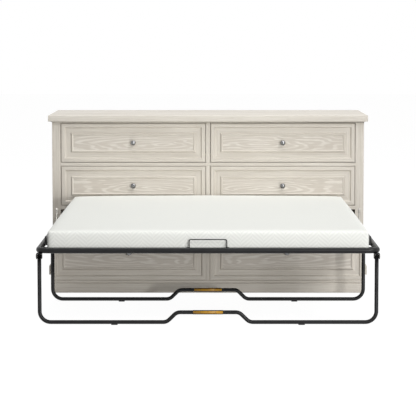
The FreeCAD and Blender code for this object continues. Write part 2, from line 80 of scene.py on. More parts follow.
WHITE = (1.0, 1.0, 1.0)

Colour = tuple[float, float, float]
Mesh = bmesh.types.BMesh
Edge = bmesh.types.BMEdge
Piece = bpy.types.Object
Tree = bpy.types.NodeTree
Socket = bpy.types.NodeSocket
Setting = float | tuple[float, ...] | Socket


# Shader bench and the effects that finishes share

def paint(red: int, green: int, blue: int) -> Colour:
    """Return the linear colour, 0 to 1, of a colour as a screen shows it, 0 to 255."""
    shown = Color((red / 255, green / 255, blue / 255))
    return tuple(shown.from_srgb_to_scene_linear())


class ShaderBench:
    """A node tree on the bench, with one call to add a node and wire it."""

    def __init__(self, tree: Tree) -> None:
        """Take the tree that nodes go into."""
        self.tree = tree

    @classmethod
    def over(cls, owner: bpy.types.Material | bpy.types.World) -> "ShaderBench":
        """Return a bench over a material's or a world's emptied tree."""
        owner.use_nodes = True
        owner.node_tree.nodes.clear()
        return cls(owner.node_tree)

    def add(self, kind: str, inputs: dict[str | int, Setting] | None = None,
            **options: object) -> bpy.types.Node:
        """Add one shader node.

        Args:
            kind: The node's type, without its ShaderNode prefix.
            inputs: Values or sockets for the node's inputs, by name or number.
            **options: The node's own properties.

        Returns:
            The new node.
        """
        node = self.tree.nodes.new("ShaderNode" + kind)
        for option, choice in options.items():
            setattr(node, option, choice)
        for name, value in (inputs or {}).items():
            if isinstance(value, Socket):
                self.tree.links.new(value, node.inputs[name])
            elif isinstance(value, tuple) and node.inputs[name].type == "RGBA":
                node.inputs[name].default_value = (*value[:3], 1)
            else:
                node.inputs[name].default_value = value
        return node

    def effect(self, tree: Tree, inputs: dict[str, Setting]) -> bpy.types.bpy_prop_collection:
        """Place a shared effect and return its output sockets."""
        return self.add("Group", inputs, node_tree=tree).outputs

    def give(self, results: dict[str, Socket]) -> None:
        """Wire a shared effect's results to its named outputs."""
        end = self.tree.nodes.new("NodeGroupOutput")
        for label, socket in results.items():
            self.tree.links.new(socket, end.inputs[label])

    def math(self, operation: str, first: Setting, second: Setting = 0.0) -> Socket:
        """Return the result of one operation on one or two values."""
        return self.add("Math", {0: first, 1: second}, operation=operation).outputs[0]

    def stretch(self, vector: Setting, scale: tuple[float, float, float]) -> Socket:
        """Return a vector multiplied axis by axis."""
        return self.add("VectorMath", {0: vector, 1: scale}, operation="MULTIPLY").outputs[0]

    def noise(self, vector: Setting, detail: float, scale: Setting = 1.0) -> Socket:
        """Return a smooth noise value, about 0.5 in the middle."""
        inputs = {"Vector": vector, "Scale": scale, "Detail": detail, "Roughness": 0.55}
        return self.add("TexNoise", inputs).outputs[0]

    def ramp(self, value: Setting, low: float, high: float,
             start: float = 0.0, end: float = 1.0) -> Socket:
        """Return a value moved from the range low to high into the range start to end."""
        inputs = {"Value": value, "From Min": low, "From Max": high, "To Min": start, "To Max": end}
        return self.add("MapRange", inputs, interpolation_type="SMOOTHSTEP").outputs[0]

    def mix(self, share: Setting, first: Setting, second: Setting) -> Socket:
        """Return two colours mixed by a share."""
        return self.add("Mix", {0: share, 6: first, 7: second}, data_type="RGBA").outputs[2]

    def surface(self, inputs: dict[str, Setting], height: Socket, relief: float, depth: float) -> None:
        """Finish a material with its surface shader.

        Args:
            inputs: Values and sockets for the surface shader.
            height: The relief's height.
            relief: How strongly the relief shows, 0 to 1.
            depth: How deep the relief is.
        """
        bump = self.add("Bump", {"Height": height, "Strength": relief, "Distance": depth})
        shader = self.add("BsdfPrincipled", {**inputs, "Normal": bump.outputs[0]})
        self.add("OutputMaterial", {"Surface": shader.outputs[0]})


def new_group(name: str, inputs: dict[str, str], outputs: dict[str, str]) -> ShaderBench:
    """Start a shared effect as a node group with named sockets.

    Args:
        name: The group's name.
        inputs: Each input's name and kind: Float, Vector or Color.
        outputs: Each output's name and kind.

    Returns:
        A bench over the empty group.
    """
    tree = bpy.data.node_groups.new(name, "ShaderNodeTree")
    for sockets, way in ((inputs, "INPUT"), (outputs, "OUTPUT")):
        for label, kind in sockets.items():
            tree.interface.new_socket(label, in_out=way, socket_type="NodeSocket" + kind)
    return ShaderBench(tree)


@cache
def washed_grain() -> Tree:
    """Return the wood effect: growth rings, fibres and pores under a thin white wash."""
    bench = new_group(
        "washed_grain",
        {"Grain Space": "Vector", "Heart": "Vector", "Pale": "Color", "Ground": "Color",
         "Dark": "Color", "Ring Share": "Float"},
        {"Color": "Color", "Roughness": "Float", "Height": "Float"})
    sway_reach = 0.085
    ring_scale = 27.0
    tick_share = 0.28
    tick_depth = 1.5
    cloud_share = 0.22
    ground_roughness = 0.62
    wash_roughness = 0.47
    given = bench.tree.nodes.new("NodeGroupInput").outputs
    space = given["Grain Space"]
    sway = bench.noise(bench.stretch(space, (2.2, 8.0, 8.0)), detail=3.0)
    shift = bench.math("MULTIPLY", bench.math("SUBTRACT", sway, 0.5), sway_reach)
    bent = bench.add("CombineXYZ", {"X": shift, "Y": shift}).outputs[0]
    from_heart = bench.add("VectorMath", {0: space, 1: given["Heart"]}, operation="SUBTRACT").outputs[0]
    drawn_out = bench.stretch(from_heart, (0.11, 1.0, 0.0))
    ring_place = bench.add("VectorMath", {0: drawn_out, 1: bent}, operation="ADD").outputs[0]
    rings = bench.add("TexWave", {"Vector": ring_place, "Scale": ring_scale, "Distortion": 0.0},
                      wave_type="RINGS", rings_direction="Z", wave_profile="SIN").outputs["Fac"]
    fibre = bench.noise(bench.stretch(space, (4.0, 150.0, 150.0)), detail=3.0)
    pore = bench.noise(bench.stretch(space, (16.0, 420.0, 420.0)), detail=1.0)
    cloud = bench.noise(bench.stretch(space, (1.1, 4.0, 4.0)), detail=1.0)
    streak = bench.ramp(fibre, 0.28, 0.72)
    thin_rings = bench.ramp(rings, 0.35, 1.0)
    broken_rings = bench.math("MULTIPLY", thin_rings, bench.ramp(fibre, 0.20, 0.62))
    tone = bench.add("Mix", {0: given["Ring Share"], 2: streak, 3: broken_rings}).outputs[0]
    ticks = bench.math("MULTIPLY", bench.ramp(pore, 0.58, 0.74), tick_share)
    washed = bench.mix(tone, given["Ground"], given["Pale"])
    ticked = bench.mix(ticks, washed, given["Dark"])
    shaded = bench.mix(bench.ramp(cloud, 0.40, 0.75, 0.0, cloud_share), ticked, given["Dark"])
    rough = bench.ramp(streak, 0.0, 1.0, ground_roughness, wash_roughness)
    height = bench.math("SUBTRACT", tone, bench.math("MULTIPLY", ticks, tick_depth))
    bench.give({"Color": shaded, "Roughness": rough, "Height": height})
    return bench.tree


@cache
def worn_skin() -> Tree:
    """Return the handling effect of coats and metals: broad mottle, fine specks and their relief."""
    bench = new_group("worn_skin", {"Place": "Vector", "Specks Per Metre": "Float"},
                      {"Mottle": "Float", "Specks": "Float", "Height": "Float"})
    given = bench.tree.nodes.new("NodeGroupInput").outputs
    mottle = bench.ramp(bench.noise(given["Place"], detail=3.0, scale=14.0), 0.3, 0.7)
    fine = bench.noise(given["Place"], detail=2.0, scale=given["Specks Per Metre"])
    specks = bench.ramp(fine, 0.52, 0.70)
    height = bench.math("ADD", fine, bench.math("MULTIPLY", mottle, 0.3))
    bench.give({"Mottle": mottle, "Specks": specks, "Height": height})
    return bench.tree


# Finishes

class Grain(Enum):
    """Which way a board's fibres run: the axis along them, then the two across."""

    ALONG_X = ("X", "Z", "Y")
    ALONG_Y = ("Y", "X", "Z")
    ALONG_Z = ("Z", "X", "Y")


class Finish:
    """What a surface is made of, turned into one procedural material."""

    name: str

    @cache
    def material(self) -> bpy.types.Material:
        """Return the finish's material, made the first time it is asked for."""
        made = bpy.data.materials.new(self.name)
        self.dress(ShaderBench.over(made))
        return made

    def dress(self, bench: ShaderBench) -> None:
        """Build the finish's nodes."""
        raise NotImplementedError


@dataclass(frozen=True)
class WashedWood(Finish):
    """Whitewashed wood with its grain along one axis.

    The heart is where the growth rings close, along and across the grain. A paired board repeats
    its figure on both sides of the cabinet's middle.
    """

    name: str
    grain: Grain
    heart_along: float = 0.0
    heart_across: float = -0.4
    ring_share: float = 0.12
    paired: bool = False
    pale: Colour = paint(216, 210, 200)
    ground: Colour = paint(199, 192, 181)
    dark: Colour = paint(176, 167, 155)

    def dress(self, bench: ShaderBench) -> None:
        """Build the wood's nodes."""
        place = bench.add("TexCoord").outputs["Object"]
        split = bench.add("SeparateXYZ", {0: place}).outputs
        along, across, deep = (split[axis] for axis in self.grain.value)
        if self.paired:
            along = bench.math("ABSOLUTE", along)
        space = bench.add("CombineXYZ", {
            "X": along, "Y": bench.math("ADD", across, deep), "Z": bench.math("SUBTRACT", across, deep)})
        wood = bench.effect(washed_grain(), {
            "Grain Space": space.outputs[0], "Heart": (self.heart_along, self.heart_across, 0.0),
            "Pale": self.pale, "Ground": self.ground, "Dark": self.dark, "Ring Share": self.ring_share})
        bench.surface({"Base Color": wood["Color"], "Roughness": wood["Roughness"],
                       "Specular IOR Level": 0.35}, wood["Height"], relief=0.25, depth=0.4 * MM)


@dataclass(frozen=True)
class CoatedMetal(Finish):
    """A metal or a coat on metal, with mottle, specks and a fine relief."""

    name: str
    colour: Colour
    worn: Colour
    metallic: float
    smooth: float
    rough: float
    specks: float = 900.0
    relief: float = 0.1
    shine: float = 0.5

    def dress(self, bench: ShaderBench) -> None:
        """Build the coat's nodes."""
        place = bench.add("TexCoord").outputs["Object"]
        skin = bench.effect(worn_skin(), {"Place": place, "Specks Per Metre": self.specks})
        mottle_share = 0.55
        speck_share = 0.35
        mottled = bench.math("MULTIPLY", skin["Mottle"], mottle_share)
        worn_share = bench.math("ADD", mottled, bench.math("MULTIPLY", skin["Specks"], speck_share))
        colour = bench.mix(worn_share, self.colour, self.worn)
        rough = bench.ramp(worn_share, 0.0, 0.9, self.smooth, self.rough)
        bench.surface({"Base Color": colour, "Roughness": rough, "Metallic": self.metallic,
                       "Specular IOR Level": self.shine},
                      skin["Height"], relief=self.relief, depth=0.3 * MM)


@dataclass(frozen=True)
class KnittedCover(Finish):
    """A stretch-knit mattress cover: raised herringbone strokes over fine knitted loops."""

    name: str
    column: float
    pitch: float
    slope: float
    # white is the yarn's colour; shade is painted shade for the knit's low strokes and loops.
    white: Colour = paint(233, 234, 229)
    shade: Colour = paint(219, 220, 215)

    def dress(self, bench: ShaderBench) -> None:
        """Build the cover's nodes, which follow the cloth's own map in metres."""
        loops_per_metre = (700.0, 420.0, 1.0)
        fuzz_scale = 55.0
        stroke_share = 0.6
        loop_depth = 0.35
        cloth = bench.add("UVMap", uv_map="cloth").outputs[0]
        split = bench.add("SeparateXYZ", {0: cloth}).outputs
        zigzag = bench.math("PINGPONG", split["X"], self.column)
        climb = bench.math("ADD", split["Y"], bench.math("MULTIPLY", zigzag, self.slope))
        strip = bench.math("FLOOR", bench.math("DIVIDE", split["X"], self.column))
        broken = bench.math("ADD", climb, bench.math("MULTIPLY", strip, self.pitch / 2))
        turn = bench.math("MULTIPLY", broken, 2 * math.pi / self.pitch)
        stroke = bench.ramp(bench.math("SINE", turn), -0.8, 0.9)
        loops = bench.noise(bench.stretch(cloth, loops_per_metre), detail=1.0)
        fuzz = bench.noise(cloth, detail=2.0, scale=fuzz_scale)
        # The colour follows the relief: low strokes and loops take the shade colour, painted shade in
        # the knit's hollows.
        tone = bench.math("ADD", bench.math("MULTIPLY", stroke, stroke_share),
                          bench.math("MULTIPLY", loops, 1 - stroke_share))
        colour = bench.mix(tone, self.shade, self.white)
        rough = bench.ramp(fuzz, 0.3, 0.7, 0.82, 0.95)
        height = bench.math("ADD", stroke, bench.math("MULTIPLY", loops, loop_depth))
        bench.surface({"Base Color": colour, "Roughness": rough, "Sheen Weight": 0.15,
                       "Sheen Roughness": 0.5, "Specular IOR Level": 0.2},
                      height, relief=0.30, depth=0.8 * MM)


@dataclass(frozen=True)
class WrappedTape(Finish):
    """Glossy amber tape along a tube, with dark lines where its lengths overlap."""

    name: str
    turn_width: float
    amber: Colour = paint(186, 136, 26)
    edge: Colour = paint(138, 98, 18)

    def dress(self, bench: ShaderBench) -> None:
        """Build the tape's nodes."""
        place = bench.add("TexCoord").outputs["Object"]
        specks_per_metre = 240.0
        mottle_share = 0.35
        skin = bench.effect(worn_skin(), {"Place": place, "Specks Per Metre": specks_per_metre})
        along = bench.add("SeparateXYZ", {0: place}).outputs["X"]
        turn = bench.math("FRACT", bench.math("DIVIDE", along, self.turn_width))
        lap = bench.ramp(turn, 0.86, 0.99)
        dulled = bench.math("MULTIPLY", skin["Mottle"], mottle_share)
        colour = bench.mix(bench.math("MAXIMUM", lap, dulled), self.amber, self.edge)
        rough = bench.ramp(skin["Mottle"], 0.0, 1.0, 0.30, 0.46)
        height = bench.math("SUBTRACT", skin["Height"], lap)
        bench.surface({"Base Color": colour, "Roughness": rough}, height, relief=0.2, depth=0.3 * MM)


RAIL_WOOD = WashedWood("washed_wood_rail", Grain.ALONG_X)
POST_WOOD = WashedWood("washed_wood_post", Grain.ALONG_Z)
DEPTH_WOOD = WashedWood("washed_wood_depth", Grain.ALONG_Y)
INNER_BOARD = WashedWood("washed_wood_inner_board", Grain.ALONG_X, ring_share=0.15,
                         pale=paint(226, 220, 209), ground=paint(212, 205, 193),
                         dark=paint(196, 187, 174))
NICKEL = CoatedMetal("polished_nickel", paint(132, 132, 133), paint(108, 108, 108), 1.0, 0.12, 0.24,
                     relief=0.03)
ZINC = CoatedMetal("zinc_steel", paint(158, 155, 149), paint(136, 133, 127), 1.0, 0.34, 0.52)
BLACK_COAT = CoatedMetal("black_powder_coat", paint(17, 17, 18), paint(27, 27, 28), 0.0, 0.36, 0.50,
                         specks=1400.0, relief=0.18, shine=0.22)
BLACK_PLASTIC = CoatedMetal("black_plastic", paint(20, 20, 21), paint(30, 30, 31), 0.0, 0.46, 0.62,
                            specks=2200.0, shine=0.3)
SLOT_FINISHES = {"inner_board": INNER_BOARD, "polished_nickel": NICKEL, "zinc_steel": ZINC,
                 "black_steel": BLACK_COAT, "black_plastic": BLACK_PLASTIC}
SLOT_EASES = {"whitewashed_wood": 1.2 * MM, "inner_board": 0.8 * MM, "zinc_steel": 0.4 * MM,
              "black_steel": 0.5 * MM, "black_plastic": 0.8 * MM}
DRAWER_FIGURES = {"left": 0.13, "right": -0.19}
NODE_SLOTS = {row["node"]: row["material_slot"] for row in frame["record"]["subparts"]}
NODE_BODIES = {node: body for body, nodes in frame["record"]["behaviour"]["bodies"].items()
               for node in nodes}


# Workshop helpers

def box_between(bm: Mesh, low: Vector, high: Vector) -> list[bmesh.types.BMVert]:
    """Add a block between its lowest and its highest corner, and return its corners."""
    place = Matrix.Translation((low + high) / 2) @ Matrix.Diagonal((*(high - low), 1))
    return bmesh.ops.create_cube(bm, size=1, matrix=place)["verts"]


def new_object(name: str, data: bpy.types.ID) -> Piece:
    """Return a new object that holds some data, linked to the scene."""
    made = bpy.data.objects.new(name, data)
    bpy.context.scene.collection.objects.link(made)
    return made


def new_piece(name: str, bm: Mesh, *finishes: Finish, ease: float = 0.0) -> Piece:
    """Turn a finished mesh into a dressed piece.

    Args:
        name: The piece's name.
        bm: Its mesh, which is used up.
        *finishes: The finishes that its faces point at, in order.
        ease: How far its hard edges are rounded, or 0 to leave them.

    Returns:
        The new piece, at the origin.
    """
    mesh = bpy.data.meshes.new(name)
    bm.to_mesh(mesh)
    bm.free()
    if "custom_normal" in mesh.attributes:
        mesh.attributes.remove(mesh.attributes["custom_normal"])
    for finish in finishes:
        mesh.materials.append(finish.material())
    mesh.shade_smooth()
    piece = new_object(name, mesh)
    if ease:
        rounding = piece.modifiers.new("eased_edges", "BEVEL")
        rounding.width = ease
        rounding.segments = EASE_STEPS
        rounding.limit_method = "ANGLE"
        rounding.angle_limit = HARD_ANGLE
        rounding.harden_normals = True
    return piece


def smooth_once(piece: Piece) -> None:
    """Add one level of subdivision, the same in the view and in the render."""
    rounding = piece.modifiers.new("smooth", "SUBSURF")
    rounding.levels = rounding.render_levels = 1


def seat(piece: Piece, *nodes: str) -> None:
    """Set a piece on the body of the nodes that it stands for, and hide those nodes.

    Args:
        piece: The finished piece.
        *nodes: The nodes that it replaces, which share a body and a slot.
    """
    body = NODE_BODIES[nodes[0]]
    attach(piece, body)
    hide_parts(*nodes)
    LOG.info("%s rides on %s", piece.name, body)


def copied_solid(node: str) -> Mesh:
    """Return a clean copy of a node's shape, with its flat faces whole again and one finish."""
    bm = bmesh.new()
    bm.from_mesh(frame["nodes"][node].data)
    bmesh.ops.remove_doubles(bm, verts=bm.verts, dist=MERGE_DISTANCE)
    bmesh.ops.dissolve_limit(bm, angle_limit=FLAT_ANGLE, verts=bm.verts, edges=bm.edges)
    for face in bm.faces:
        face.material_index = 0
    return bm


def islands(bm: Mesh) -> list[list[bmesh.types.BMFace]]:
    """Return the faces of each separate solid in a mesh."""
    left = set(bm.faces)
    found = []
    while left:
        group = [left.pop()]
        for face in group:
            near = {other for edge in face.edges for other in edge.link_faces} & left
            left -= near
            group.extend(near)
        found.append(group)
    return found


def board_middles(node: str) -> tuple[float, ...]:
    """Return the middle, from side to side, of each solid in a node, from left to right."""
    bm = copied_solid(node)
    middles = []
    for solid in islands(bm):
        across = [vert.co.x for face in solid for vert in face.verts]
        middles.append((min(across) + max(across)) / 2)
    bm.free()
    return tuple(sorted(middles))


def lathe(bm: Mesh, outline: list[tuple[float, float]], foot: Vector, axis: Vector,
          steps: int = 28) -> None:
    """Turn an outline round an axis, as on a lathe.

    Args:
        bm: The mesh that the turned shape goes into.
        outline: Points of the half section, as a radius and a distance along the axis.
        foot: Where the axis starts.
        axis: The axis's direction.
        steps: Facets in the full turn.
    """
    arm = axis.orthogonal().normalized()
    verts = [bm.verts.new(foot + axis * out + arm * radius) for radius, out in outline]
    edges = [bm.edges.new(pair) for pair in zip(verts, verts[1:])]
    bmesh.ops.spin(bm, geom=verts + edges, cent=foot, axis=axis, angle=2 * math.pi, steps=steps,
                   use_merge=True)
    bmesh.ops.remove_doubles(bm, verts=bm.verts, dist=MERGE_DISTANCE)
    bmesh.ops.recalc_face_normals(bm, faces=bm.faces)


def round_edges(bm: Mesh, edges: list[Edge], radius: float, steps: int) -> None:
    """Round some edges of a mesh to a radius, in a number of facets."""
    bmesh.ops.bevel(bm, geom=edges, offset=radius, offset_type="OFFSET", segments=steps,
                    profile=0.5, affect="EDGES", material=-1)


def pull_out(bm: Mesh, edges: list[Edge], way: Vector) -> list[Edge]:
    """Pull a wall of new faces out of some edges, and return the edges at its far side."""
    made = bmesh.ops.extrude_edge_only(bm, edges=edges)["geom"]
    verts = [item for item in made if isinstance(item, bmesh.types.BMVert)]
    bmesh.ops.translate(bm, verts=verts, vec=way)
    return [item for item in made if isinstance(item, Edge)]


class TubeBender:
    """Makes one round tube from runs and bends, as a pipe bender does."""

    def __init__(self, bm: Mesh, radius: float, start: Vector, heading: Vector,
                 sides: int = TUBE_SIDES) -> None:
        """Start a tube.

        Args:
            bm: The mesh that it goes into.
            radius: The tube's outer radius.
            start: The middle of its first end.
            heading: Which way it sets off.
            sides: Facets round the tube.
        """
        self.bm = bm
        self.place = start.copy()
        self.heading = heading.normalized()
        turn = Z_AXIS.rotation_difference(self.heading).to_matrix().to_4x4()
        ring = bmesh.ops.create_circle(bm, cap_ends=True, segments=sides, radius=radius,
                                       matrix=Matrix.Translation(start) @ turn)["verts"]
        self.end = list({edge for vert in ring for edge in vert.link_edges})

    def run(self, length: float) -> "TubeBender":
        """Carry on straight for a length."""
        self.end = pull_out(self.bm, self.end, self.heading * length)
        self.place += self.heading * length
        return self

    def bend(self, axis: Vector, turn: float, radius: float) -> "TubeBender":
        """Bend the tube.

        Args:
            axis: The axis to turn about.
            turn: The angle, positive by the right hand.
            radius: The bend's radius at the tube's middle.

        Returns:
            The bender, for the next run.
        """
        axis = axis * math.copysign(1, turn)
        centre = self.place + axis.cross(self.heading) * radius
        ring = list({vert for edge in self.end for vert in edge.verts})
        steps = max(FEWEST_BEND_STEPS, round(abs(turn) / BEND_STEP))
        last = bmesh.ops.spin(self.bm, geom=self.end + ring, cent=centre, axis=axis, angle=abs(turn),
                              steps=steps)["geom_last"]
        self.end = [item for item in last if isinstance(item, Edge)]
        rotation = Matrix.Rotation(abs(turn), 3, axis)
        self.place = centre + rotation @ (self.place - centre)
        self.heading = rotation @ self.heading
        return self

    def close(self) -> None:
        """Cap the far end and point all faces outwards."""
        bmesh.ops.contextual_create(self.bm, geom=self.end)
        bmesh.ops.recalc_face_normals(self.bm, faces=self.bm.faces)


# Sub-assemblies of the cabinet

@dataclass
class EasedSolids:
    """Solids that keep the frame's shape and get worked edges and their slot's finish."""

    nodes: tuple[str, ...]

    def build(self) -> None:
        """Make one eased piece for each node."""
        for node in self.nodes:
            slot = NODE_SLOTS[node]
            bm = copied_solid(node)
            finishes = (SLOT_FINISHES[slot],) if slot in SLOT_FINISHES else self.choose_grain(bm)
            seat(new_piece(node + "_eased", bm, *finishes, ease=SLOT_EASES[slot]), node)

    @staticmethod
    def choose_grain(bm: Mesh) -> tuple[Finish, ...]:
        """Run each board's grain along its longest side, and return the finishes to choose from."""
        for board in islands(bm):
            points = [vert.co for face in board for vert in face.verts]
            spans = [max(point[axis] for point in points) - min(point[axis] for point in points)
                     for axis in range(3)]
            for face in board:
                face.material_index = spans.index(max(spans))
        return (RAIL_WOOD, DEPTH_WOOD, POST_WOOD)


@dataclass
class CabinetTop:
    """The top slab, with small rounds along the upper and lower edges of its plain face."""

    round_over: float = 4 * MM
    lower_round: float = 2.5 * MM
    facets: int = 4

    def build(self) -> None:
        """Make the slab over the frame's top."""
        low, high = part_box("top")
        bm = bmesh.new()
        box_between(bm, low, high)
        middle = (low.z + high.z) / 2
        for level, radius in ((1, self.round_over), (-1, self.lower_round)):
            rim = [edge for edge in bm.edges
                   if all((vert.co.z - middle) * level > 0 for vert in edge.verts)]
            round_edges(bm, rim, radius, self.facets)
        wood = WashedWood("washed_wood_top", Grain.ALONG_X, heart_along=0.2, heart_across=0.75,
                          ring_share=0.45, pale=paint(220, 215, 206), ground=paint(205, 199, 189))
        seat(new_piece("top_slab", bm, wood, ease=0.8 * MM), "top")


@dataclass
class PanelledFronts:
    """Fronts with mitred strips, a sunk field, a bead and a sunk panel of figured wood."""

    name: str
    node: str
    strip: float = 21 * MM
    field: float = 28 * MM
    slope: float = 6 * MM
    field_depth: float = 8 * MM
    bead: float = 3 * MM
    panel_depth: float = 4 * MM
    figure_shift: float = 0.11
    figure_drop: float = 0.01
    arris: float = 3 * MM

    def build(self) -> None:
        """Make every front of the node as one piece."""
        low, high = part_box(self.node)
        middles = board_middles(self.node)
        half = high.x - middles[-1]
        bm = bmesh.new()
        for middle in middles:
            start = Vector((middle - half, low.y, low.z))
            self.cut_front(bm, start, Vector((middle + half, high.y, high.z)))
        centre_z = (low.z + high.z) / 2
        heart = middles[-1] + self.figure_shift
        panel = WashedWood("washed_wood_" + self.name + "_panel", Grain.ALONG_X, heart_along=heart,
                           heart_across=centre_z - self.figure_drop + low.y, ring_share=0.72,
                           paired=len(middles) > 1, pale=paint(224, 219, 210),
                           ground=paint(195, 187, 176))
        piece = new_piece(self.name, bm, RAIL_WOOD, POST_WOOD, panel, ease=1.0 * MM)
        seat(piece, self.node)

    def steps(self) -> list[tuple[float, float]]:
        """Return the face's profile from its edge inwards, as widths and rises."""
        return [(self.arris, 0.0), (self.strip - self.arris, 0.0), (self.slope, -self.field_depth),
                (self.field, 0.0), (self.slope, self.field_depth), (self.bead, 0.0),
                (self.slope, -self.panel_depth)]

    def cut_front(self, bm: Mesh, low: Vector, high: Vector) -> None:
        """Work one front's face, strip by strip.

        Args:
            bm: The mesh that the front goes into.
            low: The board's lowest corner.
            high: The board's highest corner.
        """
        rail, stile, figured = range(3)
        known = set(bm.faces)
        box_between(bm, low, high)
        panel = min(set(bm.faces) - known, key=lambda face: face.calc_center_median().y)
        rim = list(panel.edges)
        for width, rise in self.steps():
            bmesh.ops.inset_region(bm, faces=[panel], thickness=width, depth=rise, use_even_offset=True)
        middle = (low + high) / 2
        half = (high - low) / 2
        for face in set(bm.faces) - known:
            off = face.calc_center_median() - middle
            face.material_index = stile if abs(off.x) / half.x > abs(off.z) / half.z else rail
        panel.material_index = figured
        bmesh.ops.translate(bm, verts=list({vert for edge in rim for vert in edge.verts}),
                            vec=Y_AXIS * self.arris)


@dataclass
class Knobs:
    """Turned nickel knobs: a stepped foot, a waisted neck and a domed head."""

    name: str
    node: str
    shares: tuple[tuple[float, float], ...] = (
        (0.0, 0.0), (0.68, 0.0), (0.68, 0.07), (0.60, 0.11), (0.42, 0.17), (0.36, 0.30), (0.40, 0.42),
        (0.62, 0.50), (0.94, 0.55), (1.0, 0.62), (0.98, 0.70), (0.86, 0.82), (0.62, 0.92),
        (0.32, 0.985), (0.0, 1.0))

    def build(self) -> None:
        """Turn each knob where the frame has one."""
        low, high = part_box(self.node)
        radius = (high.z - low.z) / 2
        length = high.y - low.y
        outline = [(radius * wide, length * out) for wide, out in self.shares]
        bm = bmesh.new()
        for middle in board_middles(self.node):
            lathe(bm, outline, Vector((middle, high.y, (low.z + high.z) / 2)), -Y_AXIS)
        piece = new_piece(self.name, bm, NICKEL)
        smooth_once(piece)
        seat(piece, self.node)


def build_cabinet() -> None:
    """Dress the cabinet, its drawers and its fixed fronts."""
    EasedSolids(("side_left", "side_right", "posts", "face_rails", "centre_stile", "base_mouldings",
                 "top_mouldings", "back_panel", "shelf", "partition", "false_front_backer",
                 "cabinet_runners", "trolley_slide_outers", "trolley_slide_carriers")).build()
    CabinetTop().build()
    PanelledFronts("fixed_fronts", "false_fronts", figure_shift=-0.16).build()
    Knobs("fixed_front_knobs", "false_front_knobs").build()
    for side, shift in DRAWER_FIGURES.items():
        PanelledFronts("drawer_panel_" + side, "drawer_front_" + side, figure_shift=shift).build()
        Knobs("turned_knob_" + side, "drawer_knob_" + side).build()
        EasedSolids(("drawer_box_" + side, "drawer_runners_" + side)).build()


@dataclass
class TrolleyPlinth:
    """The trolley's base: a plain board with a rounded band above it, and quirks that hold shadow."""

    band_height: float = 15 * MM
    band_step: float = 3 * MM
    band_round: float = 5 * MM
    board_round: float = 2.5 * MM
    facets: int = 5

    def build(self) -> None:
        """Make both members as one piece."""
        low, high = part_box("trolley_plinth")
        split_z = high.z - self.band_height
        bm = bmesh.new()
        self.add_member(bm, low, Vector((high.x, high.y, split_z)), self.board_round)
        self.add_member(bm, Vector((low.x, low.y + self.band_step, split_z)), high, self.band_round)
        piece = new_piece("trolley_base", bm, RAIL_WOOD, ease=0.6 * MM)
        seat(piece, "trolley_plinth")

    def add_member(self, bm: Mesh, low: Vector, high: Vector, edge_round: float) -> None:
        """Add one member between two corners, with its two long front edges rounded."""
        verts = box_between(bm, low, high)
        middle_y = (low.y + high.y) / 2
        edges = {edge for vert in verts for edge in vert.link_edges}
        front = [edge for edge in edges if all(vert.co.y < middle_y for vert in edge.verts)
                 and edge.calc_length() > high.z - low.z]
        round_edges(bm, front, edge_round, self.facets)


@dataclass
class CasterWheel:
    """One caster wheel: a rounded tyre, a sunk web and a hub."""

    side: str
    bore_share: float = 0.20
    hub_share: float = 0.36
    web_share: float = 0.70
    sunk_share: float = 0.16
    tyre: tuple[tuple[float, float], ...] = ((0.90, 0.0), (0.97, 0.10), (1.0, 0.30))
    facets: int = 36

    def build(self) -> None:
        """Turn the wheel about its axle."""
        node = "caster_wheel_" + self.side
        low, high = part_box(node)
        radius = (high.z - low.z) / 2
        width = high.x - low.x
        bore, hub, web = (radius * share for share in (self.bore_share, self.hub_share, self.web_share))
        sunk = width * self.sunk_share
        half = [(bore, 0.0), (hub, 0.0), (hub, sunk), (web, sunk), (web + sunk / 2, 0.0),
                *((radius * wide, width * out) for wide, out in self.tyre)]
        outline = half + [(wide, width - out) for wide, out in reversed(half)] + [half[0]]
        bm = bmesh.new()
        start = Vector((low.x, (low.y + high.y) / 2, (low.z + high.z) / 2))
        lathe(bm, outline, start, X_AXIS, self.facets)
        seat(new_piece(node + "_turned", bm, BLACK_PLASTIC, ease=0.5 * MM), node)


def build_trolley() -> None:
    """Dress the trolley under the bed, with its slides and casters."""
    PanelledFronts("trolley_panels", "trolley_fronts", figure_shift=0.05).build()
    Knobs("trolley_turned_knobs", "trolley_knobs").build()
    TrolleyPlinth().build()
    EasedSolids(("trolley_stile", "trolley_box", "trolley_slide_inners", "trolley_slide_middles",
                 "caster_forks", "caster_axles")).build()
    for side in ("left", "right"):
        CasterWheel(side).build()


# Sub-assemblies of the bed

@dataclass
class BedTubes:
    """The bent foot frame and the two head rails."""

    elbow: float = 46 * MM

    def build(self) -> None:
        """Bend the tubes along the frame's own."""
        low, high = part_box("foot_tube")
        hinge_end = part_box("foot_rails")[1].y
        radius = (high.z - low.z) / 2
        rail_x = high.x - radius
        middle_z = (low.z + high.z) / 2
        foot_y = low.y + radius
        side_run = hinge_end - foot_y - self.elbow
        bm = bmesh.new()
        start = Vector((-rail_x, hinge_end, middle_z))
        tube = TubeBender(bm, radius, start, -Y_AXIS, sides=STOUT_TUBE_SIDES)
        tube.run(side_run)
        for length in (2 * (rail_x - self.elbow), side_run):
            tube.bend(Z_AXIS, QUARTER_TURN, self.elbow).run(length)
        tube.close()
        piece = new_piece("foot_frame_tube", bm, BLACK_COAT, ease=0.6 * MM)
        seat(piece, "foot_tube", "foot_rails")
        near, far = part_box("head_rails")
        bm = bmesh.new()
        for side in SIDES:
            start = Vector((side * rail_x, near.y, middle_z))
            tube = TubeBender(bm, radius, start, Y_AXIS, sides=STOUT_TUBE_SIDES)
            tube.run(far.y - near.y).close()
        piece = new_piece("head_rail_tubes", bm, BLACK_COAT, ease=0.6 * MM)
        seat(piece, "head_rails")


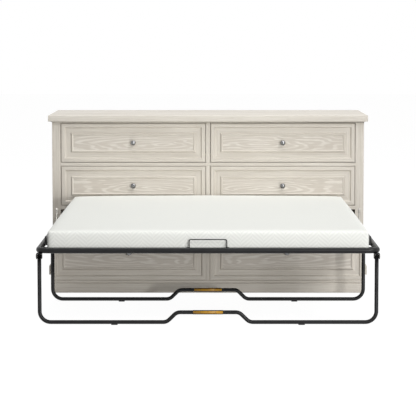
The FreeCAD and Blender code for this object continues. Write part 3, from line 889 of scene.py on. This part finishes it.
@dataclass
class RetainerHoop:
    """The wire hoop that keeps the mattress from sliding off the foot."""

    corner: float = 8 * MM

    def build(self) -> None:
        """Bend the wire up, across and down again."""
        low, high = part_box("retainer_hoop")
        radius = (high.y - low.y) / 2
        half = high.x - radius
        rise = high.z - radius - self.corner - low.z
        bm = bmesh.new()
        start = Vector((-half, (low.y + high.y) / 2, low.z))
        wire = TubeBender(bm, radius, start, Z_AXIS, sides=WIRE_SIDES)
        wire.run(rise)
        for length in (2 * (half - self.corner), rise):
            wire.bend(Y_AXIS, QUARTER_TURN, self.corner).run(length)
        wire.close()
        seat(new_piece("retainer_wire", bm, BLACK_COAT), "retainer_hoop")


@dataclass
class FoldingLeg:
    """One U-shaped leg with its raised middle, floor glides and strip of tape."""

    name: str
    corner: float = 52 * MM
    rise_half_width: float = 148.5 * MM
    rise_run: float = 48 * MM
    rise: float = 47 * MM
    rise_bend: float = 40 * MM
    web: float = 3 * MM
    web_gap: float = 0.4 * MM
    dome_rings: int = 6
    tape_turn: float = 36 * MM
    tape_sink: float = 0.3 * MM
    tape_facets: int = 48
    # The lit front arc of the tape, leaned up towards the camera, shows amber; the rest of its round is
    # black plastic, painted shade.
    lit_arc_half_angle: float = math.radians(38)
    lit_arc_lean: float = math.radians(8)

    def build(self) -> None:
        """Bend the leg and dress it."""
        low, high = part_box(self.name)
        radius = (high.y - low.y) / 2
        leg_x = high.x - radius
        middle_y = (low.y + high.y) / 2
        floor_z = low.z + radius
        climb = math.atan2(self.rise, self.rise_run)
        trim = self.rise_bend * math.tan(climb / 2)
        drop = high.z - floor_z - self.corner
        outer = leg_x - self.corner - self.rise_half_width - self.rise_run - trim
        ramp = math.hypot(self.rise, self.rise_run) - 2 * trim
        raised = 2 * (self.rise_half_width - trim)
        bm = bmesh.new()
        tube = TubeBender(bm, radius, Vector((-leg_x, middle_y, high.z)), -Z_AXIS)
        tube.run(drop).bend(Y_AXIS, -QUARTER_TURN, self.corner).run(outer)
        for turn, length in ((-climb, ramp), (climb, raised), (climb, ramp), (-climb, outer)):
            tube.bend(Y_AXIS, turn, self.rise_bend).run(length)
        tube.bend(Y_AXIS, -QUARTER_TURN, self.corner).run(drop).close()
        self.round_ends(bm, radius, Vector((leg_x, middle_y, high.z)))
        seat(new_piece(self.name + "_tube", bm, BLACK_COAT), self.name)
        EasedSolids((self.name + "_glides",)).build()
        self.wrap_tape(radius)

    def round_ends(self, bm: Mesh, radius: float, end: Vector) -> None:
        """Close both ends with domes that turn just clear of the brackets' webs.

        Args:
            bm: The leg's mesh.
            radius: The tube's radius.
            end: The middle of the right upright's end, which the left one mirrors.
        """
        pin_low, pin_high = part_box("leg_pins")
        pin_z = (pin_low.z + pin_high.z) / 2
        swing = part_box("leg_brackets")[1].z - self.web - self.web_gap - pin_z
        rims = [radius * ring / self.dome_rings for ring in range(self.dome_rings, -1, -1)]
        dome = [(rim, math.sqrt(swing ** 2 - rim ** 2)) for rim in rims]
        for side in SIDES:
            foot = Vector((side * end.x, end.y, pin_z))
            lathe(bm, [(radius, end.z - pin_z), *dome], foot, Z_AXIS, TUBE_SIDES)

    def wrap_tape(self, tube_radius: float) -> None:
        """Wind amber tape round the raised middle; away from its lit front arc the tape is black
        plastic, as painted shade.

        Args:
            tube_radius: The radius of the tube under the label.
        """
        node = self.name + "_tape"
        low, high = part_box(node)
        radius = (high.z - low.z) / 2
        length = high.x - low.x
        inner = tube_radius - self.tape_sink
        outline = [(inner, 0.0), (radius, 0.0), (radius, length / 2), (radius, length), (inner, length)]
        bm = bmesh.new()
        start = Vector((low.x, (low.y + high.y) / 2, (low.z + high.z) / 2))
        lathe(bm, outline, start, X_AXIS, self.tape_facets)
        # Faces outside the lit front arc take black plastic: painted shade on the amber tape.
        amber, black = range(2)
        front = Matrix.Rotation(-self.lit_arc_lean, 3, X_AXIS) @ -Y_AXIS
        for face in bm.faces:
            face.material_index = amber if face.normal.angle(front) < self.lit_arc_half_angle else black
        tape = WrappedTape("amber_tape", turn_width=self.tape_turn)
        seat(new_piece(node + "_wrap", bm, tape, BLACK_PLASTIC), node)


@dataclass
class Mattress:
    """A foam mattress in a knitted cover, swollen by a short cloth simulation."""

    cell: float = 12 * MM
    wall_row: float = 9 * MM
    corner: float = 9 * MM
    edge: float = 9 * MM
    crown: float = 9 * MM
    crown_fullness: float = 0.35
    bulge: float = 3 * MM
    wave_height: float = 1.2 * MM
    waves_per_metre: float = 5.0
    seam: float = 0.1 * MM
    column: float = 52 * MM
    pitch: float = 19 * MM
    slope: float = 0.85
    fold_reach: float = 40 * MM
    pressure: float = 5.0
    frames: int = 12
    cloth_quality: int = 3
    swell_cap: float = 5 * MM
    foam_hold: float = 0.2

    def build(self) -> None:
        """Make the mattress as one piece."""
        head_low, head_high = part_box("mattress_head")
        foot_low, foot_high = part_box("mattress_foot")
        self.low = Vector(map(min, head_low, foot_low))
        self.high = Vector(map(max, head_high, foot_high))
        bm = self.blank()
        self.map_cloth(bm)
        for vert in bm.verts:
            vert.co = self.soften(vert.co)
        cover = KnittedCover("knitted_cover", self.column, self.pitch, self.slope)
        piece = new_piece("mattress", bm, cover)
        self.swell(piece)
        smooth_once(piece)
        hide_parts("mattress_head", "mattress_foot")
        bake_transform(piece)
        LOG.info("%s bends between cabinet and foot_frame", piece.name)

    def swell(self, piece: Piece) -> None:
        """Press the cover outwards as cloth over the foam, and keep the swollen shape.

        Args:
            piece: The mattress, whose bottom stays where it rests on the slats.
        """
        rest = [vert.co.copy() for vert in piece.data.vertices]
        held = piece.vertex_groups.new(name="held")
        for vert in piece.data.vertices:
            resting = vert.co.z < self.low.z + self.edge
            held.add([vert.index], 1.0 if resting else self.foam_hold, "REPLACE")
        cover = piece.modifiers.new("cover", "CLOTH")
        cover.settings.vertex_group_mass = "held"
        cover.settings.effector_weights.gravity = 0
        cover.settings.use_pressure = True
        cover.settings.uniform_pressure_force = self.pressure
        cover.settings.quality = self.cloth_quality
        cover.point_cache.frame_end = self.frames
        scene = bpy.context.scene
        for step in range(1, self.frames + 1):
            scene.frame_set(step)
        grown = piece.evaluated_get(bpy.context.evaluated_depsgraph_get()).data
        moved = [vert.co.copy() for vert in grown.vertices]
        piece.modifiers.remove(cover)
        piece.vertex_groups.clear()
        scene.frame_set(1)
        for vert, start, end in zip(piece.data.vertices, rest, moved):
            way = end - start
            if way.length > self.swell_cap:
                way.length = self.swell_cap
            vert.co = start + way
        LOG.info("%s swelled up to %.1f mm", piece.name,
                 max((end - start).length for start, end in zip(rest, moved)) / MM)

    def blank(self) -> Mesh:
        """Return a block of even cells, closed on all sides, without its crown."""
        size = self.high - self.low - Z_AXIS * self.crown
        middle = (self.low + self.high) / 2
        columns = round(size.x / self.cell)
        lines = round(size.y / self.cell)
        rows = round(size.z / self.wall_row)
        bm = bmesh.new()
        for height in (0.0, size.z):
            place = Matrix.Translation((middle.x, middle.y, self.low.z + height))
            bmesh.ops.create_grid(bm, x_segments=columns, y_segments=lines, size=0.5,
                                  matrix=place @ Matrix.Diagonal((size.x, size.y, 1, 1)))
        rim = [edge for edge in bm.edges if edge.is_boundary and edge.verts[0].co.z < middle.z]
        for _ in range(rows):
            rim = pull_out(bm, rim, Z_AXIS * size.z / rows)
        bmesh.ops.remove_doubles(bm, verts=bm.verts, dist=self.seam)
        bmesh.ops.recalc_face_normals(bm, faces=bm.faces)
        return bm

    @staticmethod
    def map_cloth(bm: Mesh) -> None:
        """Lay the cloth's map on the block, in metres, face by face."""
        layer = bm.loops.layers.uv.new("cloth")
        for face in bm.faces:
            tilt = [abs(part) for part in face.normal]
            off = tilt.index(max(tilt))
            first, second = [axis for axis in range(3) if axis != off]
            for loop in face.loops:
                loop[layer].uv = (loop.vert.co[first], loop.vert.co[second])

    def soften(self, point: Vector) -> Vector:
        """Move one point of the block to where the soft mattress has it.

        Args:
            point: A point on the block's surface.

        Returns:
            The point with round corners and edges, crown and full sides.
        """
        middle = (self.low + self.high) / 2
        half = (self.high - self.low) / 2
        top = self.high.z - self.crown
        plan = Vector((point.x - middle.x, point.y - middle.y))
        flat_x = half.x - self.corner
        flat_y = half.y - self.corner
        core = Vector((max(-flat_x, min(flat_x, plan.x)), max(-flat_y, min(flat_y, plan.y))))
        arm = plan - core
        reach = max(abs(arm.x), abs(arm.y))
        outward = arm.normalized() if reach > 0 else Vector((0, 0))
        rim = max(0.0, reach - (self.corner - self.edge))
        lift = point.z - (top - self.edge)
        sink = (self.low.z + self.edge) - point.z
        over = max(0.0, lift, sink)
        height = point.z
        if rim > 0 and over > 0:
            shrink = max(rim, over) / math.hypot(rim, over)
            reach += rim * shrink - rim
            height += math.copysign(over * shrink - over, 1 if lift > 0 else -1)
        across = math.cos(plan.x / half.x * QUARTER_TURN)
        along = math.cos(plan.y / half.y * QUARTER_TURN)
        foot_fall = math.cos(min(0.0, plan.y) / half.y * QUARTER_TURN)
        if rim >= self.edge - MERGE_DISTANCE:
            reach += self.bulge * max(across * abs(outward.y), along * abs(outward.x))
        if lift > 0:
            height += self.crown * max(0.0, across * foot_fall) ** self.crown_fullness
            height += noise.noise(point * self.waves_per_metre) * self.wave_height
        moved = core + outward * reach
        return Vector((moved.x + middle.x, moved.y + middle.y, height))


def build_bed() -> None:
    """Dress the folding bed, its legs and its mattress."""
    BedTubes().build()
    RetainerHoop().build()
    FoldingLeg("front_leg").build()
    FoldingLeg("rear_leg").build()
    EasedSolids(("head_anchors", "head_slats", "head_hinge_plates", "hinge_pins", "head_side_guards",
                 "foot_slats", "foot_hinge_plates", "leg_brackets", "leg_pins", "retainer_clips",
                 "foot_side_guards")).build()
    Mattress().build()


# Stage

@dataclass(frozen=True)
class Lamp:
    """One soft box: its place, the length of its side and its power in watts."""

    name: str
    place: tuple[float, float, float]
    size: float
    power: float

    def hang(self, aim: Vector) -> None:
        """Hang the soft box so that it looks at a point."""
        data = bpy.data.lights.new(self.name, "AREA")
        data.size = self.size
        data.energy = self.power
        lamp = new_object(self.name, data)
        lamp.location = self.place
        lamp.rotation_euler = (aim - Vector(self.place)).to_track_quat("-Z", "Y").to_euler()


@dataclass(frozen=True)
class Stage:
    """A white floor, soft light and the camera."""

    camera_place: tuple[float, float, float] = (0.0, -10.498, 1.419)
    camera_tilt: float = 84.667
    lens: float = 169.54
    sight: float = 200.0
    floor_half: float = 30.0
    floor_tone: float = 0.45
    floor_white: float = 0.74
    floor_glow: float = 1.30
    sky: float = 0.22
    lamp_aim: tuple[float, float, float] = (0.0, 0.0, 0.4)
    lamps: tuple[Lamp, ...] = (Lamp("key_light", (6.75, -7.5, 9.0), 3.9, 690.0),
                               Lamp("low_fill", (3.0, -7.0, 0.7), 1.0, 225.0),
                               Lamp("ceiling_light", (0.0, -0.2, 6.0), 3.0, 200.0))

    def build(self) -> None:
        """Set the floor, the lights and the camera."""
        self.lay_floor()
        self.light_sky()
        for lamp in self.lamps:
            lamp.hang(Vector(self.lamp_aim))
        self.set_camera()
        bpy.context.scene.view_settings.view_transform = "Standard"

    @staticmethod
    def seen_directly(bench: ShaderBench) -> Socket:
        """Return 1 for rays that show the stage itself, and 0 for rays that carry its light."""
        path = bench.add("LightPath").outputs
        glossy = bench.math("MAXIMUM", path["Is Camera Ray"], path["Is Glossy Ray"])
        return bench.math("MAXIMUM", glossy, path["Is Transmission Ray"])

    def lay_floor(self) -> None:
        """Lay a white floor that still takes the object's shadow."""
        bm = bmesh.new()
        bmesh.ops.create_grid(bm, x_segments=2, y_segments=2, size=self.floor_half)
        floor = new_piece("floor", bm)
        made = bpy.data.materials.new("white_floor")
        floor.data.materials.append(made)
        bench = ShaderBench.over(made)
        matt = bench.add("BsdfDiffuse", {"Color": (self.floor_tone,) * 3})
        glow = bench.add("Emission", {"Color": WHITE, "Strength": self.floor_glow})
        share = bench.math("MULTIPLY", self.seen_directly(bench), self.floor_white)
        mixed = bench.add("MixShader", {0: share, 1: matt.outputs[0], 2: glow.outputs[0]})
        bench.add("OutputMaterial", {"Surface": mixed.outputs[0]})

    def light_sky(self) -> None:
        """Fill the room with soft light from a white sky."""
        world = bpy.data.worlds.new("studio")
        bpy.context.scene.world = world
        bench = ShaderBench.over(world)
        soft = bench.add("Background", {"Color": WHITE, "Strength": self.sky})
        white = bench.add("Background", {"Color": WHITE, "Strength": 1.0})
        mixed = bench.add("MixShader", {
            0: self.seen_directly(bench), 1: soft.outputs[0], 2: white.outputs[0]})
        bench.add("OutputWorld", {"Surface": mixed.outputs[0]})

    def set_camera(self) -> None:
        """Set the camera at the foot of the bed, a little above it."""
        data = bpy.data.cameras.new("camera")
        data.lens = self.lens
        data.clip_end = self.sight
        camera = new_object("camera", data)
        camera.location = self.camera_place
        camera.rotation_euler = (math.radians(self.camera_tilt), 0, 0)
        bpy.context.scene.camera = camera


def main() -> None:
    """Build and dress every sub-assembly."""
    logging.basicConfig(level=logging.INFO, format="%(name)s: %(message)s")
    build_cabinet()
    build_trolley()
    build_bed()
    Stage().build()


if __name__ == "__main__":
    main()
